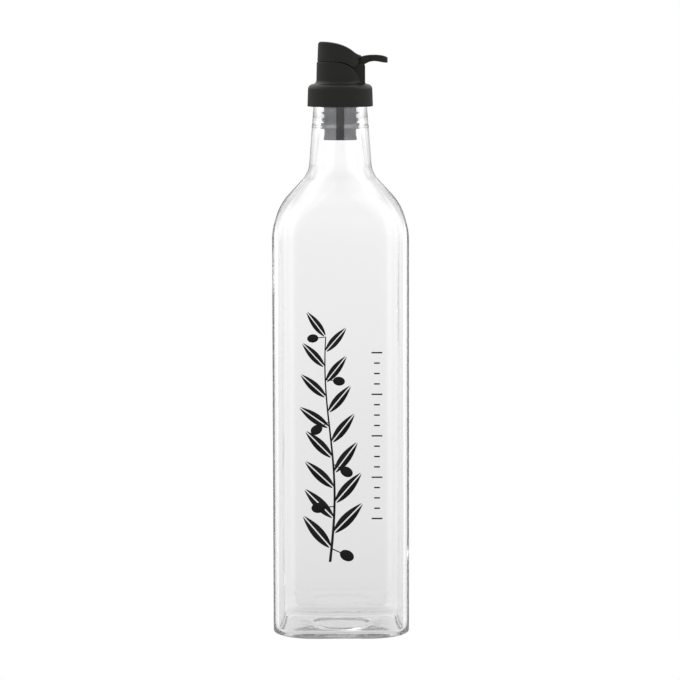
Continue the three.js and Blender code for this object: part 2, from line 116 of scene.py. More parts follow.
# Stopper and tube
STOPPER_CORE = 9.1
STOPPER_RIB = STOPPER_HIGH.x
STOPPER_BAND_BOTTOM_Z = 283.5
STOPPER_BAND_TOP_Z = 286.8
STOPPER_BAND_SLOPE = 0.3
STOPPER_BAND_ROUND = 0.6
STOPPER_RIB_FEET = (287.3, 291.2, 295.1, 299)
STOPPER_RIB_RISE = 1.2
STOPPER_RIB_LAND = 0.5
STOPPER_RIB_ROUND = 0.12
STOPPER_TAIL = 8.95
STOPPER_TAIL_LIP = 9.35
STOPPER_TAIL_HEIGHT = 1.2
STOPPER_TAIL_TAPER = 1.4
STOPPER_TAIL_ROUND = 0.8
STOPPER_HEAD_ROUND = 0.4
STOPPER_EDGE = 0.3
TUBE_RADIUS = TUBE_HIGH.x
TUBE_BORE = 1.3
TUBE_ROUND = 0.2

# Pourer
COLLAR_BOTTOM_Z = POURER_LOW.z
COLLAR_TOP_Z = 308.4
COLLAR_FOOT_RADIUS = POURER_HIGH.x
COLLAR_HEAD_RADIUS = 18
COLLAR_SHOULDER = 3
COLLAR_CROWN = 0.3
SKIRT_BORE = 15.8
PLATE_UNDERSIDE_Z = 306.9
TOWER_FOOT_RADIUS = 13.4
TOWER_TOP_RADIUS = 13.1
TOWER_FOOT_FILLET = 2.2
TOWER_TOP_Z = 320.9
CHANNEL_RADIUS = 3.2
LIP_RING_RADIUS = 4.6
LIP_RING_TOP_Z = POURER_HIGH.z
RIM_RADIUS = 10.5
RIM_WIDTH = 0.9
RIM_HEIGHT = 0.9
POURER_VOXEL = 0.28

# Hinge
TRUNNION_RADIUS = 1.2
TRUNNION_REACH = 5.4
BOSS_RADIUS = 2.5
BOSS_REACH = 0.7 * BOSS_RADIUS
ROOT_HALF = 4.1
POST_INNER = 4.4
POST_OUTER = 6.6
POST_BACK_X = 14
POST_TOP_Z = 319.9
POST_FRONT_X = 4.6
POST_CORNER = 1.3
SLOT_FRONT = (5.4, 314.6)
SLOT_BACK_Z = 313
NOTCH_FLOOR_Z = 309
NOTCH_INSET = 1.2

# Lid and thumb lever
LID_FOOT_RADIUS = 13
LID_HEAD_RADIUS = 12.25
LID_TOP_Z = LID_HIGH.z
LID_FOOT_Z = TOWER_TOP_Z + 0.1
LID_WALL = 1.7
LID_BEAK_RADIUS = 1.6
ROOF_SHIFT = 0.28
ROOF_BREAK = (8.2, 326.1)
ROOF_END = (12.2, 323.9)
ROOF_HANDLES = ((3.4, 330.6), (-4.2, LID_TOP_Z))
SKIRT_START_X = -2.6
SKIRT_HANDLES = ((1.5, LID_FOOT_Z), (4.6, 319.9))
SKIRT_RISE = math.radians(30)
TONGUE = (7.2, 317.7)
NOTCH_TIP = (TONGUE[0] - GAP / 2, TONGUE[1] - 1.7 * GAP)
POST_HEADROOM = 2.7
LEVER_TIP_X = LID_HIGH.x + 0.35
LEVER_TIP_LOW_Z = 320.4
LEVER_TIP_HIGH_Z = 323.35
LEVER_CREST = (19.1, 324.85)
LEVER_CREST_HANDLE = 2.6
LEVER_ROOT_HANDLE = (1.8, 1.2)
LEVER_LOW_HANDLE = (2.5, 0.1)
LEVER_HIGH_HANDLE = (-1.7, 1.15)
LEVER_ROOF_HANDLE = (1.9, 0.8)
LEVER_THICKNESS = 3.5
LEVER_UNDER = (13, 319.1)
LEVER_PAD_HALF = 5.6
LEVER_PAD_X = 19.5
LEVER_PAD_END = 4.4
LEVER_FLARE_X = 14.7
KNUCKLE = (10.3, 322.75)
KNUCKLE_RADIUS = 2.2
LID_VOXEL = 0.25

# Printed sprig and level marks on the front face
PRINT_FACE_Y = -BODY_HALF - 0.02
PRINT_THICKNESS = 0.1
SPRIG_X = -6.2
SPRIG_LOW_Z = 44
SPRIG_HIGH_Z = 170
SPRIG_SWAY = 2.6
SPRIG_BENDS = 1.7
SPRIG_STEM = 0.75
STEM_TAPER = 0.6
STEM_BARE = 0.06
LEAF_LENGTH = 25
LEAF_HALF = 3.3
LEAF_RIB = 0.35
LEAF_LEAST = 0.05
LEAF_BELLY = 0.85
LEAF_FULLNESS = 0.9
LEAF_COUNT = 15
LEAF_ANGLE = math.radians(38)
FRUIT_COUNT = 6
FRUIT_HALF = (2.9, 3.9)
FRUIT_STALK = 5.5
FRUIT_STALK_HALF = 0.3
FRUIT_SEAT = 0.4
FRUIT_ANGLE = math.radians(96)
MARKS_X = 20
MARKS_LOW_Z = 68
MARKS_STEP = 5.8
MARKS_COUNT = 17
MARK_LONG = 6
MARK_SHORT = 3.2
MARK_STROKE = 0.8

# Reach of the cutters, and fineness of the meshes
FAR = 40
HIGH = 400
OVERLAP = 0.1
CUT_MARGIN = 1
LID_CUT_LOW_Z = TONGUE[1] - 3
LID_CUT_HIGH_Z = LID_TOP_Z + CUT_MARGIN
MOULD_SMOOTHING = 5
FINE_ARC = math.radians(2.5)
PLAIN_ARC = math.radians(5)
COARSE_ARC = math.radians(15)
CORNER_STEPS = 16
FLAT_STEPS = 10
FLOOR_STEPS = 20
LEVEL_STEP = 4
BASE_STEP = 2
LEAST_FLAT = 0.02
BAR_STEPS = 48
LEAF_STEPS = 20
STEM_STEPS = 60


# Outlines

def rounded(corners, arc_step=PLAIN_ARC):
    """Points along an outline of corners (x, z) or (x, z, radius)."""
    points = []
    for i, corner in enumerate(corners):
        here = Vector(corner[:2])
        radius = corner[2] if len(corner) > 2 else 0
        if not radius:
            points.append(here)
            continue
        after = corners[(i + 1) % len(corners)]
        back = (Vector(corners[i - 1][:2]) - here).normalized()
        ahead = (Vector(after[:2]) - here).normalized()
        half = math.acos(max(-1, min(1, back.dot(ahead)))) / 2
        centre = here + (back + ahead).normalized() * radius / math.sin(half)
        start = here + back * radius / math.tan(half) - centre
        turn = math.copysign(math.pi - 2 * half, -(back.x * ahead.y - back.y * ahead.x))
        steps = max(3, math.ceil(abs(turn) / arc_step))
        points += [centre + Matrix.Rotation(turn * k / steps, 2) @ start for k in range(steps + 1)]
    return points


def bezier(start, handle_a, handle_b, end, steps=20):
    a, b, c, d = map(Vector, (start, handle_a, handle_b, end))
    points = []
    for k in range(steps + 1):
        t = k / steps
        s = 1 - t
        points.append(a * s ** 3 + b * 3 * s * s * t + c * 3 * s * t * t + d * t ** 3)
    return points


def arc(centre, radius_x, radius_z, start, end, steps=20):
    points = []
    for k in range(steps + 1):
        a = start + (end - start) * k / steps
        points.append(Vector((centre[0] + radius_x * math.cos(a), centre[1] + radius_z * math.sin(a))))
    return points


def spaced(points, longest):
    """The same outline with extra points, so that no step is longer than longest."""
    out = [points[0]]
    for a, b in zip(points, points[1:]):
        steps = max(1, math.ceil((b - a).length / longest))
        out += [a.lerp(b, k / steps) for k in range(1, steps + 1)]
    return out


# Meshes

def placed(name, data):
    """A new object in the scene."""
    piece = bpy.data.objects.new(name, data)
    bpy.context.scene.collection.objects.link(piece)
    return piece


def solid(name, points, faces):
    """A closed mesh of points and faces, with equal points merged and its faces turned outwards."""
    places, number = {}, []
    for p in points:
        number.append(places.setdefault(tuple(round(v, 6) + 0.0 for v in p), len(places)))
    merged = [list(dict.fromkeys(number[i] for i in face)) for face in faces]
    mesh = bpy.data.meshes.new(name)
    mesh.from_pydata(list(places), [], [face for face in merged if len(face) > 2])
    tidy = bmesh.new()
    tidy.from_mesh(mesh)
    bmesh.ops.recalc_face_normals(tidy, faces=tidy.faces)
    tidy.to_mesh(mesh)
    tidy.free()
    return placed(name, mesh)


def turned(name, outline, steps=128):
    """A closed outline of (radius, z) turned about the Z axis."""
    points, faces = [], []
    count = len(outline)
    for k in range(steps):
        a = 2 * math.pi * k / steps
        points += [(p[0] * math.cos(a), p[0] * math.sin(a), p[1]) for p in outline]
        here, there = k * count, (k + 1) % steps * count
        for i in range(count):
            j = (i + 1) % count
            faces.append((here + i, there + i, there + j, here + j))
    return solid(name, points, faces)


def prism(name, near, far):
    """A solid between two outlines of the same number of points."""
    count = len(near)
    sides = [(i, (i + 1) % count, count + (i + 1) % count, count + i) for i in range(count)]
    caps = [tuple(range(count - 1, -1, -1)), tuple(range(count, 2 * count))]
    return solid(name, near + far, sides + caps)


def slab_y(outline, from_y, to_y, name="slab"):
    return prism(name, [(p[0], from_y, p[1]) for p in outline], [(p[0], to_y, p[1]) for p in outline])


def slab_z(outline, from_z, to_z, name="slab"):
    return prism(name, [(p[0], p[1], from_z) for p in outline], [(p[0], p[1], to_z) for p in outline])


def bar_y(radius, half_length, x=HINGE.x, z=HINGE.z):
    circle = arc((x, z), radius, radius, 0, 2 * math.pi, BAR_STEPS)[:-1]
    return slab_y(circle, -half_length, half_length)


def disc(foot_radius, head_radius, foot_z, head_z):
    return turned("disc", [(0, foot_z), (foot_radius, foot_z), (head_radius, head_z), (0, head_z)])


def settled(piece):
    """The piece's modifiers become plain mesh."""
    graph = bpy.context.evaluated_depsgraph_get()
    mesh = bpy.data.meshes.new_from_object(piece.evaluated_get(graph))
    piece.modifiers.clear()
    piece.data = mesh
    return piece


def worked(piece, *steps):
    """Cuts, joins or intersects the piece with tools, in order."""
    for operation, tool in steps:
        change = piece.modifiers.new(operation, "BOOLEAN")
        change.operation, change.object, change.solver = operation, tool, "MANIFOLD"
    settled(piece)
    for _, tool in steps:
        bpy.data.objects.remove(tool)
    return piece


def moulded(piece, voxel):
    """Softens every edge as a mould does."""
    soften = piece.modifiers.new("soften", "REMESH")
    soften.mode, soften.voxel_size = "VOXEL", voxel
    even = piece.modifiers.new("even", "SMOOTH")
    even.factor, even.iterations = 0.5, MOULD_SMOOTHING
    return settled(piece)


def finished(piece, name, body, material, node=None):
    """Names the piece, puts it in metres, and hands it to the frame."""
    piece.name = piece.data.name = name
    piece.data.transform(Matrix.Scale(MM, 4))
    piece.data.shade_smooth()
    piece.data.materials.clear()
    piece.data.materials.append(material)
    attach(piece, body)
    if node:
        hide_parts(node)
    return piece


# Bottle

def section(half, flat, z, wave=0):
    """One level of the bottle: a square with rounded corners and flats that reach to +-flat."""
    radius = half - flat
    quarter = Matrix.Rotation(math.pi / 2, 2)
    ring = []
    for corner in range(4):
        sign = Vector((1 if corner in (0, 3) else -1, 1 if corner < 2 else -1))
        for k in range(CORNER_STEPS + 1):
            a = (corner + k / CORNER_STEPS) * math.pi / 2
            ring.append((sign * flat + Vector((math.cos(a), math.sin(a))) * radius, a))
        first, last = ring[-1][0], quarter @ ring[corner * (CORNER_STEPS + FLAT_STEPS)][0]
        ring += [(first.lerp(last, k / FLAT_STEPS), a) for k in range(1, FLAT_STEPS)]
    return [wavy(p, a, z, wave) for p, a in ring]


def wavy(point, angle, z, wave):
    place = Vector((point.x, point.y, z * WALL_WAVE_STRETCH)) / WALL_WAVE_LENGTH
    shift = wave * noise.noise(place) if wave else 0
    return (point.x + shift * math.cos(angle), point.y + shift * math.sin(angle), z)


def flat_at(half, round_half, square_half, power=1):
    share = max(0, min(1, (half - round_half) / (square_half - round_half)))
    return max(LEAST_FLAT, SIDE_FLAT * share ** power)


def shoulder_z():
    return NECK_FOOT_Z - (BODY_HALF - NECK_FOOT_HALF) * math.tan(SHOULDER_SLOPE)


def neck_at(z):
    return FINISH_HALF + (FINISH_Z - z) * (NECK_FOOT_HALF - FINISH_HALF) / (FINISH_Z - NECK_FOOT_Z)


def punt_levels():
    base = rounded([
        (0, PUNT_RISE),
        (PUNT_STEP_HALF, PUNT_STEP_RISE, PUNT_ROUNDING),
        (PUNT_HALF, 0, PUNT_ROUNDING),
        (BODY_HALF, 0, HEEL_RADIUS),
        (BODY_HALF, HEEL_TOP_Z),
    ])
    return spaced(base, BASE_STEP)[1:]


def seam(z, proud, half_height, foot_radius, crest_radius):
    """A low ring round the neck."""
    low, high = z - half_height, z + half_height
    return [(neck_at(low), low, foot_radius), (neck_at(z) + proud, z, crest_radius),
            (neck_at(high), high, foot_radius)]


def outside_levels():
    return spaced(rounded([
        (BODY_HALF, HEEL_TOP_Z),
        (BODY_HALF, shoulder_z(), SHOULDER_RADIUS),
        (NECK_FOOT_HALF, NECK_FOOT_Z, NECK_FOOT_RADIUS),
        *seam(SEAM_Z, SEAM_PROUD, SEAM_HALF_HEIGHT, SEAM_FOOT_RADIUS, SEAM_CREST_RADIUS),
        *seam(FINE_SEAM_Z, FINE_SEAM_PROUD, FINE_SEAM_HALF_HEIGHT, 0, FINE_SEAM_CREST_RADIUS),
        (FINISH_HALF, FINISH_Z),
        (FINISH_HALF, BOTTLE_HEIGHT, LIP_RADIUS),
        (BORE, BOTTLE_HEIGHT, LIP_RADIUS),
        (BORE, BORE_STRAIGHT_Z),
    ], FINE_ARC), LEVEL_STEP)[1:]


def inside_levels():
    inner_half, inner_foot = BODY_HALF - WALL, NECK_FOOT_HALF - WALL - NECK_FOOT_EXTRA
    top_z = shoulder_z() - WALL * math.tan(SHOULDER_SLOPE / 2)
    foot_z = top_z + (inner_half - inner_foot) * math.tan(SHOULDER_SLOPE)
    return spaced(rounded([
        (BORE, BORE_STRAIGHT_Z),
        (BORE, BORE_END_Z, BORE_END_RADIUS),
        (inner_foot, foot_z, NECK_FOOT_RADIUS + WALL),
        (inner_half, top_z, SHOULDER_RADIUS - WALL),
        (inner_half, FLOOR_Z, FLOOR_RADIUS),
        (FLOOR_REACH, FLOOR_Z),
    ], FINE_ARC), LEVEL_STEP)[1:]


def floor_levels():
    points = []
    for k in range(FLOOR_STEPS - 1, 0, -1):
        share = k / FLOOR_STEPS
        rise = FLOOR_CROWN * (1 - share ** 2) ** FLOOR_CROWN_POWER
        points.append(Vector((FLOOR_REACH * share, FLOOR_Z + rise)))
    return points


def base_flat(z):
    """The corners of the base are rounder than those of the body."""
    return SIDE_FLAT - (SIDE_FLAT - BASE_FLAT) * max(0, 1 - z / BASE_EASE) ** 2


def bottle_sections():
    heel_half = BODY_HALF - HEEL_RADIUS
    inner_half, inner_foot = BODY_HALF - WALL, NECK_FOOT_HALF - WALL
    rings = []
    for p in punt_levels():
        flat = flat_at(p.x, PUNT_HALF, heel_half) * base_flat(p.y) / SIDE_FLAT
        rings.append(section(p.x, max(LEAST_FLAT, flat if p.x < heel_half else base_flat(p.y)), p.y))
    for p in outside_levels():
        flat = min(base_flat(p.y), flat_at(p.x, NECK_FOOT_HALF, BODY_HALF, ROUNDING_POWER))
        rings.append(section(p.x, flat, p.y))
    for p in inside_levels() + floor_levels():
        if p.y < FLOOR_Z + FLOOR_RADIUS:
            flat = flat_at(p.x, 0, inner_half - FLOOR_RADIUS) * base_flat(p.y) / SIDE_FLAT
        else:
            flat = flat_at(p.x, inner_foot, inner_half, ROUNDING_POWER)
        wave = WALL_WAVE * max(0, min(1, (BORE_END_Z - p.y) / WALL_WAVE_START))
        rings.append(section(p.x, flat, p.y, wave))
    return rings


def bottle():
    rings = bottle_sections()
    count = len(rings[0])
    points = [(0, 0, PUNT_RISE)] + [p for ring in rings for p in ring] + [(0, 0, FLOOR_Z + FLOOR_CROWN)]
    last, top = len(points) - 1, 1 + (len(rings) - 1) * count
    faces = []
    for k in range(count):
        n = (k + 1) % count
        faces += [(0, 1 + n, 1 + k), (last, top + k, top + n)]
        for r in range(len(rings) - 1):
            low, high = 1 + r * count, 1 + (r + 1) * count
            faces.append((low + k, low + n, high + n, high + k))
    piece = solid("bottle", points, faces)
    lip = max(range(len(rings)), key=lambda r: rings[r][0][2])
    outer = {tuple(p) for ring in rings[:lip] for p in ring}
    mark_outside(piece.data, len(outer))
    return finished(piece, "glass_bottle", "cruet", clear_glass(), "bottle")


def mark_outside(mesh, count):
    """The first points of the mesh are the coated outside of the glass."""
    outside = mesh.attributes.new("outside", "FLOAT", "POINT")
    for point in outside.data[:count]:
        point.value = 1


# Stopper and tube

def stopper():
    ribs = []
    for z in STOPPER_RIB_FEET:
        crest_z = z + STOPPER_RIB_RISE
        ribs += [(STOPPER_CORE, z, STOPPER_RIB_ROUND), (STOPPER_RIB, crest_z, STOPPER_RIB_ROUND),
                 (STOPPER_CORE, crest_z + STOPPER_RIB_LAND, STOPPER_RIB_ROUND)]
    low, top, bore = STOPPER_LOW.z, STOPPER_HIGH.z, TUBE_RADIUS + GAP
    outline = rounded([
        (bore, low, STOPPER_EDGE),
        (STOPPER_TAIL_LIP, low, STOPPER_TAIL_HEIGHT / 2),
        (STOPPER_TAIL_LIP, low + STOPPER_TAIL_HEIGHT, STOPPER_EDGE),
        (STOPPER_TAIL, low + STOPPER_TAIL_HEIGHT + STOPPER_TAIL_TAPER, STOPPER_TAIL_ROUND),
        (STOPPER_TAIL, STOPPER_BAND_BOTTOM_Z, STOPPER_EDGE),
        (STOPPER_RIB, STOPPER_BAND_BOTTOM_Z, STOPPER_BAND_ROUND),
        (STOPPER_RIB, STOPPER_BAND_TOP_Z, STOPPER_RIB_ROUND),
        (STOPPER_CORE, STOPPER_BAND_TOP_Z + STOPPER_BAND_SLOPE, STOPPER_RIB_ROUND / 2),
        *ribs,
        (STOPPER_CORE, top, STOPPER_HEAD_ROUND),
        (bore, top, STOPPER_EDGE),
    ], COARSE_ARC)
    return finished(turned("stopper", spaced(outline, 3)), "grey_stopper", "cruet",
                    grey_plastic(), "stopper")


def pour_tube():
    low, top = TUBE_LOW.z, TUBE_HIGH.z
    corners = ((TUBE_BORE, low), (TUBE_RADIUS, low), (TUBE_RADIUS, top), (TUBE_BORE, top))
    outline = rounded([(*corner, TUBE_ROUND) for corner in corners], COARSE_ARC)
    return finished(turned("tube", outline, steps=64), "dark_pour_tube", "cruet",
                    dark_tube(), "pour_tube")


# Pourer

def pourer_shell():
    return turned("pourer", rounded([
        (CHANNEL_RADIUS, PLATE_UNDERSIDE_Z),
        (SKIRT_BORE, PLATE_UNDERSIDE_Z),
        (SKIRT_BORE, COLLAR_BOTTOM_Z),
        (COLLAR_FOOT_RADIUS, COLLAR_BOTTOM_Z),
        (COLLAR_HEAD_RADIUS, COLLAR_TOP_Z, COLLAR_SHOULDER),
        (TOWER_FOOT_RADIUS, COLLAR_TOP_Z + COLLAR_CROWN, TOWER_FOOT_FILLET),
        (TOWER_TOP_RADIUS, TOWER_TOP_Z),
        (RIM_RADIUS, TOWER_TOP_Z),
        (RIM_RADIUS, TOWER_TOP_Z + RIM_HEIGHT),
        (RIM_RADIUS - RIM_WIDTH, TOWER_TOP_Z + RIM_HEIGHT),
        (RIM_RADIUS - RIM_WIDTH, TOWER_TOP_Z),
        (LIP_RING_RADIUS, TOWER_TOP_Z),
        (LIP_RING_RADIUS, LIP_RING_TOP_Z),
        (CHANNEL_RADIUS, LIP_RING_TOP_Z),
    ]), steps=160)


def skirt_notch():
    shift = Vector((GAP, GAP))
    edge = bezier((SKIRT_START_X - GAP, TOWER_TOP_Z), *(Vector(p) - shift for p in SKIRT_HANDLES),
                  NOTCH_TIP)
    return [(SKIRT_START_X - GAP, HIGH), *edge, (POST_BACK_X - NOTCH_INSET, NOTCH_FLOOR_Z),
            (FAR, NOTCH_FLOOR_Z), (FAR, HIGH)]


def hinge_block():
    return rounded([(POST_FRONT_X, COLLAR_TOP_Z), (POST_BACK_X, COLLAR_TOP_Z),
                    (POST_BACK_X, POST_TOP_Z, POST_CORNER), (POST_FRONT_X, POST_TOP_Z)])


def pourer():
    behind_lip = [(POST_FRONT_X + OVERLAP, HIGH), (POST_FRONT_X + OVERLAP, POST_TOP_Z),
                  (FAR, POST_TOP_Z), (FAR, HIGH)]
    lever_slot = [(SLOT_FRONT[0], HIGH), SLOT_FRONT, (POST_BACK_X, SLOT_BACK_Z),
                  (FAR, SLOT_BACK_Z), (FAR, HIGH)]
    inner = POST_OUTER + OVERLAP
    piece = worked(
        pourer_shell(),
        ("DIFFERENCE", slab_y(skirt_notch(), inner, FAR)),
        ("DIFFERENCE", slab_y(skirt_notch(), -FAR, -inner)),
        ("DIFFERENCE", slab_y(behind_lip, -FAR, FAR)),
        ("UNION", slab_y(hinge_block(), -POST_OUTER, POST_OUTER)),
        ("DIFFERENCE", slab_y(lever_slot, -POST_INNER, POST_INNER)),
        ("DIFFERENCE", bar_y(TRUNNION_RADIUS + GAP, TRUNNION_REACH + GAP)),
    )
    return finished(moulded(piece, POURER_VOXEL), "black_pourer", "cruet",
                    black_plastic(), "pourer")


# Lid

def lid_side(dx=0, dz=0, flat_bottom=None):
    """Side outline of the lid, moved by (dx, dz), with its lower edge at the skirts or at a level."""
    beak_x = LID_BEAK_RADIUS - LID_HEAD_RADIUS - OVERLAP
    move = Vector((dx, dz))
    roof = [Vector(ROOF_END)] + bezier(ROOF_BREAK, *ROOF_HANDLES, (beak_x, LID_TOP_Z))
    beak = arc((beak_x, LID_TOP_Z - LID_BEAK_RADIUS), LID_BEAK_RADIUS, LID_BEAK_RADIUS,
               math.pi / 2, math.pi, steps=12)[1:]
    top = [p + move for p in roof + beak]
    beak_foot = top[-1].y - CUT_MARGIN
    if flat_bottom is not None:
        return [(-FAR, flat_bottom), (ROOF_END[0] + dx, flat_bottom), *top, (-FAR, beak_foot)]
    back_z = TONGUE[1] + (ROOF_END[0] - TONGUE[0]) * math.tan(SKIRT_RISE)
    edge = bezier((SKIRT_START_X, LID_FOOT_Z), *SKIRT_HANDLES, TONGUE)
    return [(-FAR, LID_FOOT_Z), *edge, (ROOF_END[0], back_z), *top, (-FAR, beak_foot)]


def lever_side():
    tip_x, crest, handle = LEVER_TIP_X, Vector(LEVER_CREST), Vector((LEVER_CREST_HANDLE, 0))
    under = crest - Vector((0, LEVER_THICKNESS))
    boss_x = HINGE.x - BOSS_RADIUS + GAP
    low, high = Vector((tip_x, LEVER_TIP_LOW_Z)), Vector((tip_x, LEVER_TIP_HIGH_Z))
    root, roof = Vector(LEVER_UNDER), Vector((ROOF_END[0] - 2 * OVERLAP, ROOF_END[1]))
    return ([(boss_x, HINGE.z), (HINGE.x + BOSS_REACH, HINGE.z - BOSS_REACH)]
            + bezier(root, root + Vector(LEVER_ROOT_HANDLE), under - handle, under)
            + bezier(under, under + handle, low - Vector(LEVER_LOW_HANDLE), low)[1:]
            + bezier(high, high + Vector(LEVER_HIGH_HANDLE), crest + handle, crest)
            + bezier(crest, crest - handle, Vector(ROOF_END) + Vector(LEVER_ROOF_HANDLE), roof)[1:]
            + [(boss_x, ROOF_BREAK[1] - LID_WALL)])


def lever_plan():
    middle = (LEVER_FLARE_X + LEVER_PAD_X) / 2
    end_x = LEVER_TIP_X - LEVER_PAD_END
    flare = bezier((LEVER_FLARE_X, -ROOT_HALF), (middle, -ROOT_HALF),
                   (middle, -LEVER_PAD_HALF), (LEVER_PAD_X, -LEVER_PAD_HALF))
    pad = arc((end_x, 0), LEVER_PAD_END, LEVER_PAD_HALF, -math.pi / 2, math.pi / 2, steps=32)
    back = [Vector((p.x, -p.y)) for p in reversed(flare)]
    return [(0, -ROOT_HALF)] + flare + pad + back + [(0, ROOT_HALF)]


def lid():
    low, high = LID_CUT_LOW_Z, LID_CUT_HIGH_Z
    foot, head = LID_FOOT_RADIUS, LID_HEAD_RADIUS
    hollow = worked(
        slab_y(lid_side(-LID_WALL * ROOF_SHIFT, -LID_WALL, low - CUT_MARGIN), -FAR, FAR),
        ("INTERSECT", disc(foot - LID_WALL, head - LID_WALL, low - 2 * CUT_MARGIN, high)))
    lever = worked(slab_y(lever_side(), -FAR, FAR), ("INTERSECT", slab_z(lever_plan(), low, high)))
    post_x, post_z, post_y = POST_FRONT_X - GAP, POST_TOP_Z + POST_HEADROOM, POST_OUTER + OVERLAP + GAP
    post_room = [(post_x, low), (FAR, low), (FAR, post_z), (post_x, post_z)]
    piece = worked(
        slab_y(lid_side(), -FAR, FAR),
        ("INTERSECT", disc(foot, head, low, high)),
        ("DIFFERENCE", hollow),
        ("DIFFERENCE", slab_y(post_room, -post_y, post_y)),
        ("UNION", lever),
        ("UNION", bar_y(BOSS_RADIUS, ROOT_HALF)),
        ("UNION", bar_y(KNUCKLE_RADIUS, ROOT_HALF, *KNUCKLE)),
        ("UNION", bar_y(TRUNNION_RADIUS, TRUNNION_REACH)),
    )
    return finished(moulded(piece, LID_VOXEL), "black_lid", "lid", black_plastic(), "lid")


# Print on the front face

def joined(name, parts):
    """Several solids as one mesh."""
    whole = bmesh.new()
    for part in parts:
        whole.from_mesh(part.data)
        bpy.data.objects.remove(part)
    mesh = bpy.data.meshes.new(name)
    whole.to_mesh(mesh)
    whole.free()
    return placed(name, mesh)


def leaf():
    """A slender leaf along +Z in two halves, parted by its rib."""
    halves = []
    for side in (-1, 1):
        edge = []
        for k in range(1, LEAF_STEPS):
            t = k / LEAF_STEPS
            width = LEAF_HALF * math.sin(math.pi * t ** LEAF_BELLY) ** LEAF_FULLNESS
            edge.append((side * max(LEAF_RIB + LEAF_LEAST, width), LEAF_LENGTH * t))
        rib = [(side * LEAF_RIB, z) for _, z in reversed(edge)]
        halves.append(slab_y(edge + rib, -PRINT_THICKNESS, 0, "half_leaf"))
    return joined("leaf", halves)


def fruit():
    """An oval fruit that hangs from a short stalk along +Z."""
    centre = (0, FRUIT_STALK + FRUIT_HALF[1] - FRUIT_SEAT)
    oval = arc(centre, *FRUIT_HALF, 0, 2 * math.pi, steps=40)[:-1]
    oval = slab_y(oval, -PRINT_THICKNESS, 0, "oval")
    half = FRUIT_STALK_HALF
    stalk = slab_y([(-half, 0), (half, 0), (half, FRUIT_STALK), (-half, FRUIT_STALK)],
                   -PRINT_THICKNESS, 0, "stalk")
    return joined("fruit", [oval, stalk])


def stem_at(share):
    z = SPRIG_LOW_Z + (SPRIG_HIGH_Z - SPRIG_LOW_Z) * share
    return Vector((SPRIG_X + SPRIG_SWAY * math.sin(share * SPRIG_BENDS * math.pi), z))


def stem():
    left, right = [], []
    for k in range(STEM_STEPS + 1):
        share = k / STEM_STEPS
        here, ahead = stem_at(share), stem_at(share + 0.01)
        side = Vector((ahead.y - here.y, here.x - ahead.x)).normalized()
        half = SPRIG_STEM * (1 - STEM_TAPER * share)
        left.append(here - side * half)
        right.append(here + side * half)
    return slab_y(left + right[::-1], PRINT_FACE_Y - PRINT_THICKNESS, PRINT_FACE_Y, "stem")


def stem_line():
    mesh = bpy.data.meshes.new("stem_line")
    line = [stem_at(STEM_BARE + (1 - STEM_BARE) * k / STEM_STEPS) for k in range(STEM_STEPS + 1)]
    mesh.from_pydata([(p.x, PRINT_FACE_Y, p.y) for p in line], [(k, k + 1) for k in range(STEM_STEPS)], [])
    return placed("stem_line", mesh)


# Nodes

def give(tree, node, **values):
    """Sets inputs of a node, by name or by number as i0 and i1, from sockets or constants."""
    for key, value in values.items():
        numbered = key[0] == "i" and key[1:].isdigit()
        socket = node.inputs[int(key[1:]) if numbered else key.replace("_", " ")]
        if isinstance(value, bpy.types.NodeSocket):
            tree.links.new(value, socket)
        else:
            socket.default_value = value
    return node


def put(tree, kind, settings=None, **values):
    """A new node: settings are its properties, values its inputs."""
    node = tree.nodes.new(kind)
    for key, value in (settings or {}).items():
        setattr(node, key, value)
    return give(tree, node, **values)


def maths(tree, operation, *values):
    inputs = {f"i{k}": value for k, value in enumerate(values)}
    return put(tree, "ShaderNodeMath", {"operation": operation}, **inputs).outputs[0]


def mixed(tree, share, none, full):
    return put(tree, "ShaderNodeMix", {"data_type": "FLOAT"}, i0=share, i2=none, i3=full).outputs[0]


def ranged(tree, value, low=0.0, high=1.0, start=0.0, end=1.0, change="LINEAR"):
    """low up to start, high from end on, and a change between."""
    return put(tree, "ShaderNodeMapRange", {"interpolation_type": change}, Value=value, From_Min=start,
               From_Max=end, To_Min=low, To_Max=high).outputs[0]


def ramped(tree, value, start, end, stops):
    """A grey level over a value, from (value, level) stops between start and end."""
    ramp = put(tree, "ShaderNodeValToRGB", Fac=ranged(tree, value, start=start, end=end))
    elements = ramp.color_ramp.elements
    while len(elements) < len(stops):
        elements.new(0.5)
    for element, (place, level) in zip(elements, stops):
        element.position = (place - start) / (end - start)
        element.color = (level, level, level, 1)
    return ramp.outputs[0]


def tree_with(name, kind, inputs, outputs):
    """A node tree with named inputs and outputs, each a (name, socket type)."""
    tree = bpy.data.node_groups.new(name, kind)
    for way, sockets in (("INPUT", inputs), ("OUTPUT", outputs)):
        for label, socket in sockets:
            tree.interface.new_socket(label, in_out=way, socket_type="NodeSocket" + socket)
    return tree, tree.nodes.new("NodeGroupInput").outputs


def end_tree(tree, geometry, material):
    whole = put(tree, "GeometryNodeRealizeInstances", Geometry=geometry).outputs[0]
    whole = put(tree, "GeometryNodeSetMaterial", Geometry=whole, Material=material).outputs[0]
    put(tree, "NodeGroupOutput", i0=whole)


def grown(piece, tree, **values):
    """Runs a Geometry Nodes tree on the piece, with its inputs set by identifier."""
    change = piece.modifiers.new(tree.name, "NODES")
    change.node_group = tree
    for item in tree.interface.items_tree:
        key = item.name.replace(" ", "_")
        if item.in_out == "INPUT" and key in values:
            change[item.identifier] = values[key]
    return settled(piece)


# Sprig and level marks

